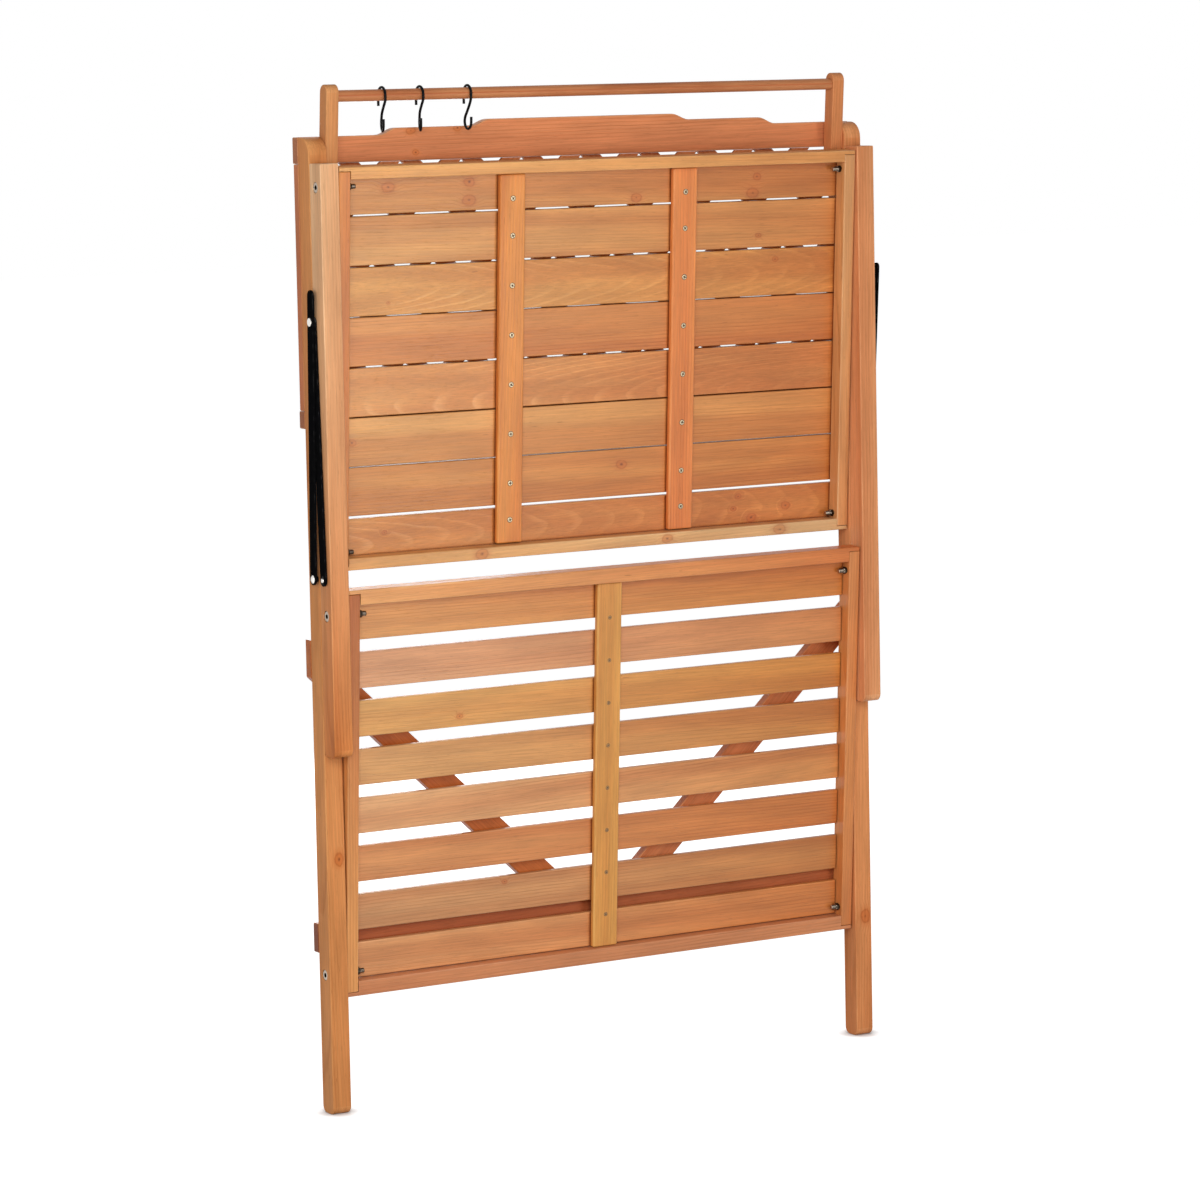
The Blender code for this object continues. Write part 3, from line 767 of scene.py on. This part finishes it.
def screwRowTree():
    tree, inputs = newTree("screwRows", {
        "Count": "Int", "First": "Vector", "Step": "Vector", "End Inset": "Vector", "Turn": "Vector",
        "Seed": "Int", "Screw": "Object", "Metal": "Material", "Recess Shade": "Material",
    })
    index = addNode(tree, "GeometryNodeInputIndex").outputs[0]
    isLast = isNumber(tree, index, calc(tree, "SUBTRACT", inputs["Count"], 1.0))
    inward = calc(tree, "SUBTRACT", isLast, isNumber(tree, index, 0.0))
    inset = {0: inputs["End Inset"], "Scale": inward}
    shift = addNode(tree, "ShaderNodeVectorMath", inset, operation="SCALE").outputs[0]
    sockets = {"Geometry": rowOfPoints(tree, inputs), "Offset": shift}
    moved = addNode(tree, "GeometryNodeSetPosition", sockets).outputs[0]
    spin = joinAngles(tree, {0: randomSpin(tree, inputs["Seed"])})
    turns = {0: turnBy(tree, inputs["Turn"]), 1: turnBy(tree, spin)}
    bothTurns = addNode(tree, "FunctionNodeRotateRotation", turns, rotation_space="LOCAL").outputs[0]
    unshaded = copyOnto(tree, moved, inputs["Screw"], bothTurns, inputs["Metal"])
    label = {"Name": "recess"}
    shadedFaces = addNode(tree, "GeometryNodeInputNamedAttribute", label, data_type="FLOAT").outputs[0]
    painted = {"Geometry": unshaded, "Selection": shadedFaces, "Material": inputs["Recess Shade"]}
    return endTree(tree, addNode(tree, "GeometryNodeSetMaterial", painted).outputs[0])


def joinMeshes(name, objects):
    work = bmesh.new()
    for obj in objects:
        work.from_mesh(obj.data)
    mesh = bpy.data.meshes.new(name)
    work.to_mesh(mesh)
    work.free()
    for material in objects[0].data.materials:
        mesh.materials.append(material)
    for obj in objects:
        bpy.data.objects.remove(obj, do_unlink=True)
    return newPiece(name, mesh)


rowTree = screwRowTree()
panelTurn = Matrix.Rotation(math.radians(panelTilt), 3, "X")
faceTurn = (panelTurn @ Matrix.Rotation(math.pi / 2, 3, "Z")).to_euler()


def screwRow(name, body, x, seed):
    row = screwRows[body]
    screwSource = newPiece("screwSource", screwMesh(row["size"]))
    grown = growPiece(name, pointMesh(name, [(0, 0, 0)]), rowTree, {
        "Count": 8,
        "First": pivots[body] + xAxis * x + (panelOut * row["out"] + panelUp * row["first"]) * mm,
        "Step": panelUp * (-row["step"] * mm),
        "End Inset": panelUp * (row["endInset"] * mm),
        "Turn": faceTurn,
        "Seed": seed,
        "Screw": screwSource,
        "Metal": row["look"],
        "Recess Shade": recessShadeLook,
    })
    bpy.data.objects.remove(screwSource, do_unlink=True)
    return grown


def middleOf(node):
    low, high = [Vector(corner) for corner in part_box(node)]
    return (low + high) / 2


tableScrews = joinMeshes("table_screws", [
    screwRow("screws_left", "table_top", middleOf("table_batten_left").x, 3),
    screwRow("screws_right", "table_top", middleOf("table_batten_right").x, 11),
])
shelfScrews = screwRow("screws_shelf", "shelf", 0.0, 23)
for piece, body in ((tableScrews, "table_top"), (shelfScrews, "shelf")):
    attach(piece, body)
print("stage: screws made")

# Pivot bolts, in mm: socket head in the leg, washer, hexagon nut and threaded end.
bolts = {
    "headRadius": 6.4,
    "socketRadius": 3.1,
    "shankRadius": 3.0,
    "washerRadius": 5.6,
    "nutRadius": 4.7,
    "threadPitch": 1.0,
    "threadDepth": 0.32,
    "threadEnd": 10.5,
}
legOutside, legInside = [corner[0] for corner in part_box("rear_leg_left")]
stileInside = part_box("table_stile_left")[1][0]


def boltMesh():
    # Along X from the leg's outer face inwards.
    head, socket, shank = bolts["headRadius"], bolts["socketRadius"], bolts["shankRadius"]
    washer, nut = bolts["washerRadius"], bolts["nutRadius"]
    washerAt = (legInside - legOutside) / mm
    nutAt = (stileInside - legOutside) / mm
    profile = [
        (hexagon, 3.4, socket * 0.75),
        (hexagon, 3.3, socket),
        (hexagon, 0.75, socket),
        (circle, 0.4, socket * 1.25),
        (circle, 0.5, head * 0.8),
        (circle, 0.8, head * 0.95),
        (circle, 1.4, head),
        (circle, 4.8, head),
        (circle, 4.8, shank),
        (circle, washerAt + 0.3, shank),
        (circle, washerAt + 0.3, washer * 0.97),
        (circle, washerAt + 0.5, washer),
        (circle, washerAt + 1.0, washer),
        (circle, washerAt + 1.2, washer * 0.97),
        (circle, washerAt + 1.2, shank),
        (circle, nutAt + 0.3, shank),
        (circle, nutAt + 0.3, nut * 0.84),
        (hexagon, nutAt + 0.8, nut),
        (hexagon, nutAt + 4.7, nut),
        (circle, nutAt + 5.3, nut * 0.82),
        (circle, nutAt + 5.3, shank),
    ]
    threadAt = nutAt + 5.6
    while threadAt < nutAt + bolts["threadEnd"]:
        profile.append((circle, threadAt, shank))
        profile.append((circle, threadAt + bolts["threadPitch"] / 2, shank - bolts["threadDepth"]))
        threadAt += bolts["threadPitch"]
    profile.append((circle, nutAt + bolts["threadEnd"] + 0.3, shank - 0.1))
    profile.append((circle, nutAt + bolts["threadEnd"] + 0.8, shank - 0.8))
    return latheMesh("boltShape", [form(x * mm, radius * mm) for form, x, radius in profile])


def pivotBoltTree():
    tree, inputs = newTree("pivotBolts", {"Bolt": "Object", "Seed": "Int", "Metal": "Material"})
    # Bolts on the right are turned round, and each one is spun on its own axis.
    sideways = split(tree, addNode(tree, "GeometryNodeInputPosition").outputs[0])[0]
    halfTurn = times(tree, calc(tree, "GREATER_THAN", sideways, 0.0), math.pi)
    turn = turnBy(tree, joinAngles(tree, {0: randomSpin(tree, inputs["Seed"]), 2: halfTurn}))
    return endTree(tree, copyOnto(tree, inputs["Geometry"], inputs["Bolt"], turn, inputs["Metal"]))


boltTree = pivotBoltTree()
boltSource = newPiece("boltSource", boltMesh())
for kind in ("rear", "front"):
    nodes = [f"{panel}_{kind}_bolt_{side}" for panel in ("table", "shelf") for side in ("left", "right")]
    heads = [middleOf(node) for node in nodes]
    for head in heads:
        head.x = math.copysign(legOutside, head.x)
    piece = growPiece(f"pivot_bolts_{kind}", pointMesh(f"pivot_bolts_{kind}", heads), boltTree, {
        "Bolt": boltSource, "Seed": 5, "Metal": boltLook,
    })
    piece.data.shade_smooth()
    piece.data.set_sharp_from_angle(angle=math.radians(28))
    dress(piece, boltLook, nodes)
bpy.data.objects.remove(boltSource, do_unlink=True)
print("stage: bolts made")

# Lattice, in mm: two layers of diagonal strips, cut to the opening of the back frame.
lattice = {
    "pitch": 83.5,
    "rise": 80.5,
    "strip": 18.5,
    "stripLong": 1300.0,
    "crossingAbove": 14.7,
    "count": 11,
    "first": -3,
    "rounding": 0.5,
    "thick": {"front": 5.1, "rear": 4.85},
    "tones": {"front": (1.05, 1.08, 1.1), "rear": (0.98, 0.98, 0.98)},
}
slant = math.atan2(lattice["pitch"], lattice["rise"])


def stripMesh(thick):
    mesh = bpy.data.meshes.new("strip")
    work = bmesh.new()
    bmesh.ops.create_cube(work, size=1)
    size = Vector((lattice["strip"], thick, lattice["stripLong"])) * mm
    bmesh.ops.scale(work, vec=size, verts=work.verts)
    rounding = lattice["rounding"] * mm
    bmesh.ops.bevel(work, geom=list(work.edges), offset=rounding, segments=2, profile=0.5, affect="EDGES")
    work.to_mesh(mesh)
    work.free()
    return mesh


def latticeTree():
    tree, inputs = newTree("latticeStrips", {
        "Count": "Int", "First": "Vector", "Step": "Vector", "Lean": "Float",
        "Strip": "Object", "Wood": "Material",
    })
    turn = turnBy(tree, joinAngles(tree, {1: inputs["Lean"]}))
    return endTree(tree, copyOnto(tree, rowOfPoints(tree, inputs), inputs["Strip"], turn, inputs["Wood"]))


def trimToOpening(mesh, low, high):
    work = bmesh.new()
    work.from_mesh(mesh)
    for axis, at, sign in ((0, low[0], -1), (0, high[0], 1), (2, low[2], -1), (2, high[2], 1)):
        place, normal = Vector(), Vector()
        place[axis], normal[axis] = at, sign
        everything = list(work.verts) + list(work.edges) + list(work.faces)
        bmesh.ops.bisect_plane(
            work, geom=everything, plane_co=place, plane_no=normal, clear_outer=True, dist=1e-7,
        )
        bmesh.ops.holes_fill(work, edges=[edge for edge in work.edges if edge.is_boundary], sides=0)
    bmesh.ops.recalc_face_normals(work, faces=work.faces)
    work.to_mesh(mesh)
    work.free()


stripTree = latticeTree()
panelLow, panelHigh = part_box("lattice_panel")
layerMiddles = {
    "front": panelLow[1] + lattice["thick"]["front"] * mm / 2,
    "rear": panelHigh[1] - lattice["thick"]["rear"] * mm / 2,
}
layers = []
for layer, lean in (("front", 1), ("rear", -1)):
    stripSource = newPiece("stripSource", stripMesh(lattice["thick"][layer]))
    step = lean * lattice["pitch"] * mm
    top = panelHigh[2] + lattice["crossingAbove"] * mm
    piece = growPiece(f"lattice_{layer}_layer", pointMesh(f"lattice_{layer}_layer", [(0, 0, 0)]), stripTree, {
        "Count": lattice["count"],
        "First": (step * lattice["first"], layerMiddles[layer], top),
        "Step": (step, 0, 0),
        "Lean": lean * slant,
        "Strip": stripSource,
        "Wood": looks["back_wood"],
    })
    bpy.data.objects.remove(stripSource, do_unlink=True)
    trimToOpening(piece.data, panelLow, panelHigh)
    smoothNormals(piece)
    aside, up = math.sin(slant), math.cos(slant)
    axes = (Vector((lean * aside, 0, up)), Vector((up, 0, -lean * aside)), yAxis)
    giveGrain(piece, axes, lattice["tones"][layer], "rift", stripPitch=lattice["pitch"] * mm * up)
    dress(piece, looks["back_wood"], body="rear_frame")
    layers.append(piece)
for piece in layers:
    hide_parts("lattice_panel")
print("stage: lattice made")

# S-hooks, in mm: one wire swept along a smooth path over the bar, its lower loop twisted by some degrees.
hooks = {"twist": (19.0, 22.0, 2.0), "wire": 1.6, "loop": 9.2, "lowerLoop": 8.6, "lowerAt": -34.2}


def arcPoints(z, radius, start, end, steps):
    angles = [math.radians(start + (end - start) * i / steps) for i in range(steps + 1)]
    return [(radius * math.cos(a), z + radius * math.sin(a)) for a in angles]


def hookPath(twist):
    # From the open end behind the bar over it and down to the open end in front.
    loop = hooks["loop"]
    flat = [(loop, -13.0), (loop, -6.0)] + arcPoints(0, loop, 0, 180, 8)
    flat += [(-loop + 0.6, -6.5), (-loop + 3.8, -13.0), (0.6, -21.0), (6.2, -27.5)]
    flat += arcPoints(hooks["lowerAt"], hooks["lowerLoop"], 20, -180, 9) + [(-8.9, -28.5)]
    path = []
    for y, z in flat:
        share = min(1.0, max(0.0, (-z - 9.0) / 16.0)) if y < loop - 0.1 else 0.0
        turn = math.radians(twist) * share
        path.append(Vector((y * math.sin(turn), y * math.cos(turn), z)))
    return path


def hookWireTree():
    tree, inputs = newTree("hookWire", {"Radius": "Float", "Paint": "Material"})
    path = {"Curve": addNode(tree, "GeometryNodeMeshToCurve", {"Mesh": inputs["Geometry"]}).outputs[0]}
    smooth = addNode(tree, "GeometryNodeCurveSplineType", path, spline_type="CATMULL_ROM").outputs[0]
    fine = addNode(tree, "GeometryNodeSetSplineResolution", {"Geometry": smooth, "Resolution": 4}).outputs[0]
    section = {"Resolution": 12, "Radius": inputs["Radius"]}
    profile = addNode(tree, "GeometryNodeCurvePrimitiveCircle", section).outputs[0]
    sockets = {"Curve": fine, "Profile Curve": profile, "Fill Caps": True}
    swept = addNode(tree, "GeometryNodeCurveToMesh", sockets).outputs[0]
    return endTree(tree, makeReal(tree, swept, inputs["Paint"]))


wireTree = hookWireTree()
for number, twist in enumerate(hooks["twist"], 1):
    node = f"s_hook_{number}"
    path = [pivots[node] + point * mm for point in hookPath(twist)]
    piece = growPiece(f"{node}_look", pointMesh(f"hook_path_{number}", path, True), wireTree, {
        "Radius": hooks["wire"] * mm, "Paint": looks["black_steel"],
    })
    piece.data.shade_smooth()
    piece.data.set_sharp_from_angle(angle=math.radians(50))
    dress(piece, looks["black_steel"], [node])
print("stage: hooks made")

# Stage: floor, light and the camera.
studio = {
    "floorSize": 40.0,
    "floorColour": (0.6, 0.6, 0.6, 1),
    "floorGlow": 0.8,
    "floorShare": 0.8,
    "contactShadowReach": 0.02,
    "contactShadowDepth": 3.0,
    "domeStrength": 0.26,
    "keyPower": 35.0,
    "fillPower": 20.0,
    "sidePower": 9.0,
    "backPower": 20.0,
}
white = (1, 1, 1, 1)


def seenDirectly(tree):
    # By the camera, or in a reflection or through glass.
    rays = addNode(tree, "ShaderNodeLightPath").outputs
    mirrored = calc(tree, "MAXIMUM", rays["Is Glossy Ray"], rays["Is Transmission Ray"])
    return calc(tree, "MAXIMUM", rays["Is Camera Ray"], mirrored)


def paleFloorMaterial():
    # Seen directly, it is white but for the object's shadow, partly real on its diffuse part and partly a
    # painted contact shadow where its glow dims near the object. Its bounce light is that of a plain pale
    # floor.
    made, tree, shader = newMaterial("paleFloor")
    shader.inputs["Base Color"].default_value = studio["floorColour"]
    shader.inputs["Roughness"].default_value = 0.9
    shader.inputs["Specular IOR Level"].default_value = 0.0
    shadowed = addNode(tree, "ShaderNodeBsdfDiffuse", {"Color": (studio["floorShare"],) * 3 + (1,)})
    # Painted contact shadow: the glow dims where the object hems the floor in.
    reach = {"Distance": studio["contactShadowReach"]}
    paintedContactShadow = addNode(tree, "ShaderNodeAmbientOcclusion", reach).outputs["AO"]
    strength = times(tree, calc(tree, "POWER", paintedContactShadow, studio["contactShadowDepth"]), studio["floorGlow"])
    glow = addNode(tree, "ShaderNodeEmission", {"Color": white, "Strength": strength})
    pale = addNode(tree, "ShaderNodeAddShader", {0: shadowed.outputs[0], 1: glow.outputs[0]})
    sockets = {0: seenDirectly(tree), 1: shader.outputs[0], 2: pale.outputs[0]}
    mixed = addNode(tree, "ShaderNodeMixShader", sockets)
    tree.links.new(mixed.outputs[0], tree.nodes["Material Output"].inputs["Surface"])
    return made


half = studio["floorSize"] / 2
floorMesh = bpy.data.meshes.new("floor")
floorCorners = [(-half, -half, 0), (half, -half, 0), (half, half, 0), (-half, half, 0)]
floorMesh.from_pydata(floorCorners, [], [(0, 1, 2, 3)])
floorMesh.materials.append(paleFloorMaterial())
floor = newPiece("floor", floorMesh)

world = bpy.data.worlds.new("studioWorld")
bpy.context.scene.world = world
world.use_nodes = True
sky = world.node_tree
sky.nodes.clear()
dome = addNode(sky, "ShaderNodeBackground", {"Color": white, "Strength": studio["domeStrength"]})
backdrop = addNode(sky, "ShaderNodeBackground", {"Color": white, "Strength": 1.0})
surround = {0: seenDirectly(sky), 1: dome.outputs[0], 2: backdrop.outputs[0]}
addNode(sky, "ShaderNodeOutputWorld", {"Surface": addNode(sky, "ShaderNodeMixShader", surround).outputs[0]})


def areaLight(name, place, target, wide, high, power):
    data = bpy.data.lights.new(name, "AREA")
    data.shape = "RECTANGLE"
    data.size = wide
    data.size_y = high
    data.energy = power
    lamp = bpy.data.objects.new(name, data)
    bpy.context.scene.collection.objects.link(lamp)
    lamp.location = place
    lamp.rotation_euler = (Vector(target) - Vector(place)).to_track_quat("-Z", "Y").to_euler()


# Each lamp: place, aim, width and height in metres, and power in watts.
areaLight("key", (-1.1, -2.1, 1.4), (-0.1, 0, 0.7), 1.8, 1.4, studio["keyPower"])
areaLight("side", (-2.3, -0.35, 0.8), (-0.39, 0, 0.7), 0.8, 1.2, studio["sidePower"])
areaLight("back", (0.7, 2.6, 0.75), (0, 0, 0.65), 1.2, 1.2, studio["backPower"])
areaLight("fill", (1.0, -2.9, 0.4), (-0.2, 0, 0.75), 0.7, 0.9, studio["fillPower"])

# The camera's angles in degrees, its place in metres, and its focal length and rise in pixels of the picture.
lens = {
    "yaw": 30.4953,
    "pitch": 5.821,
    "roll": 1.1425,
    "place": (-2.8213, -4.7931, 1.2633),
    "focus": 4547.6,
    "rise": 84.0,
    "pictureSize": 1200,
    "sensorWidth": 36.0,
}
yaw, pitch, roll = [math.radians(lens[key]) for key in ("yaw", "pitch", "roll")]
ahead = Vector((math.sin(yaw) * math.cos(pitch), math.cos(yaw) * math.cos(pitch), -math.sin(pitch)))
level = Vector((math.cos(yaw), -math.sin(yaw), 0))
plumb = ahead.cross(level)
right = math.cos(roll) * level + math.sin(roll) * plumb
down = math.cos(roll) * plumb - math.sin(roll) * level
cameraData = bpy.data.cameras.new("camera")
cameraData.sensor_fit = "HORIZONTAL"
cameraData.sensor_width = lens["sensorWidth"]
cameraData.lens = lens["focus"] / lens["pictureSize"] * lens["sensorWidth"]
cameraData.shift_y = -lens["rise"] / lens["pictureSize"]
cameraData.clip_end = 100
camera = bpy.data.objects.new("camera", cameraData)
bpy.context.scene.collection.objects.link(camera)
camera.matrix_world = Matrix.Translation(lens["place"]) @ Matrix((right, -down, -ahead)).transposed().to_4x4()
bpy.context.scene.camera = camera
bpy.context.scene.view_settings.view_transform = "Standard"
print("stage: studio made")
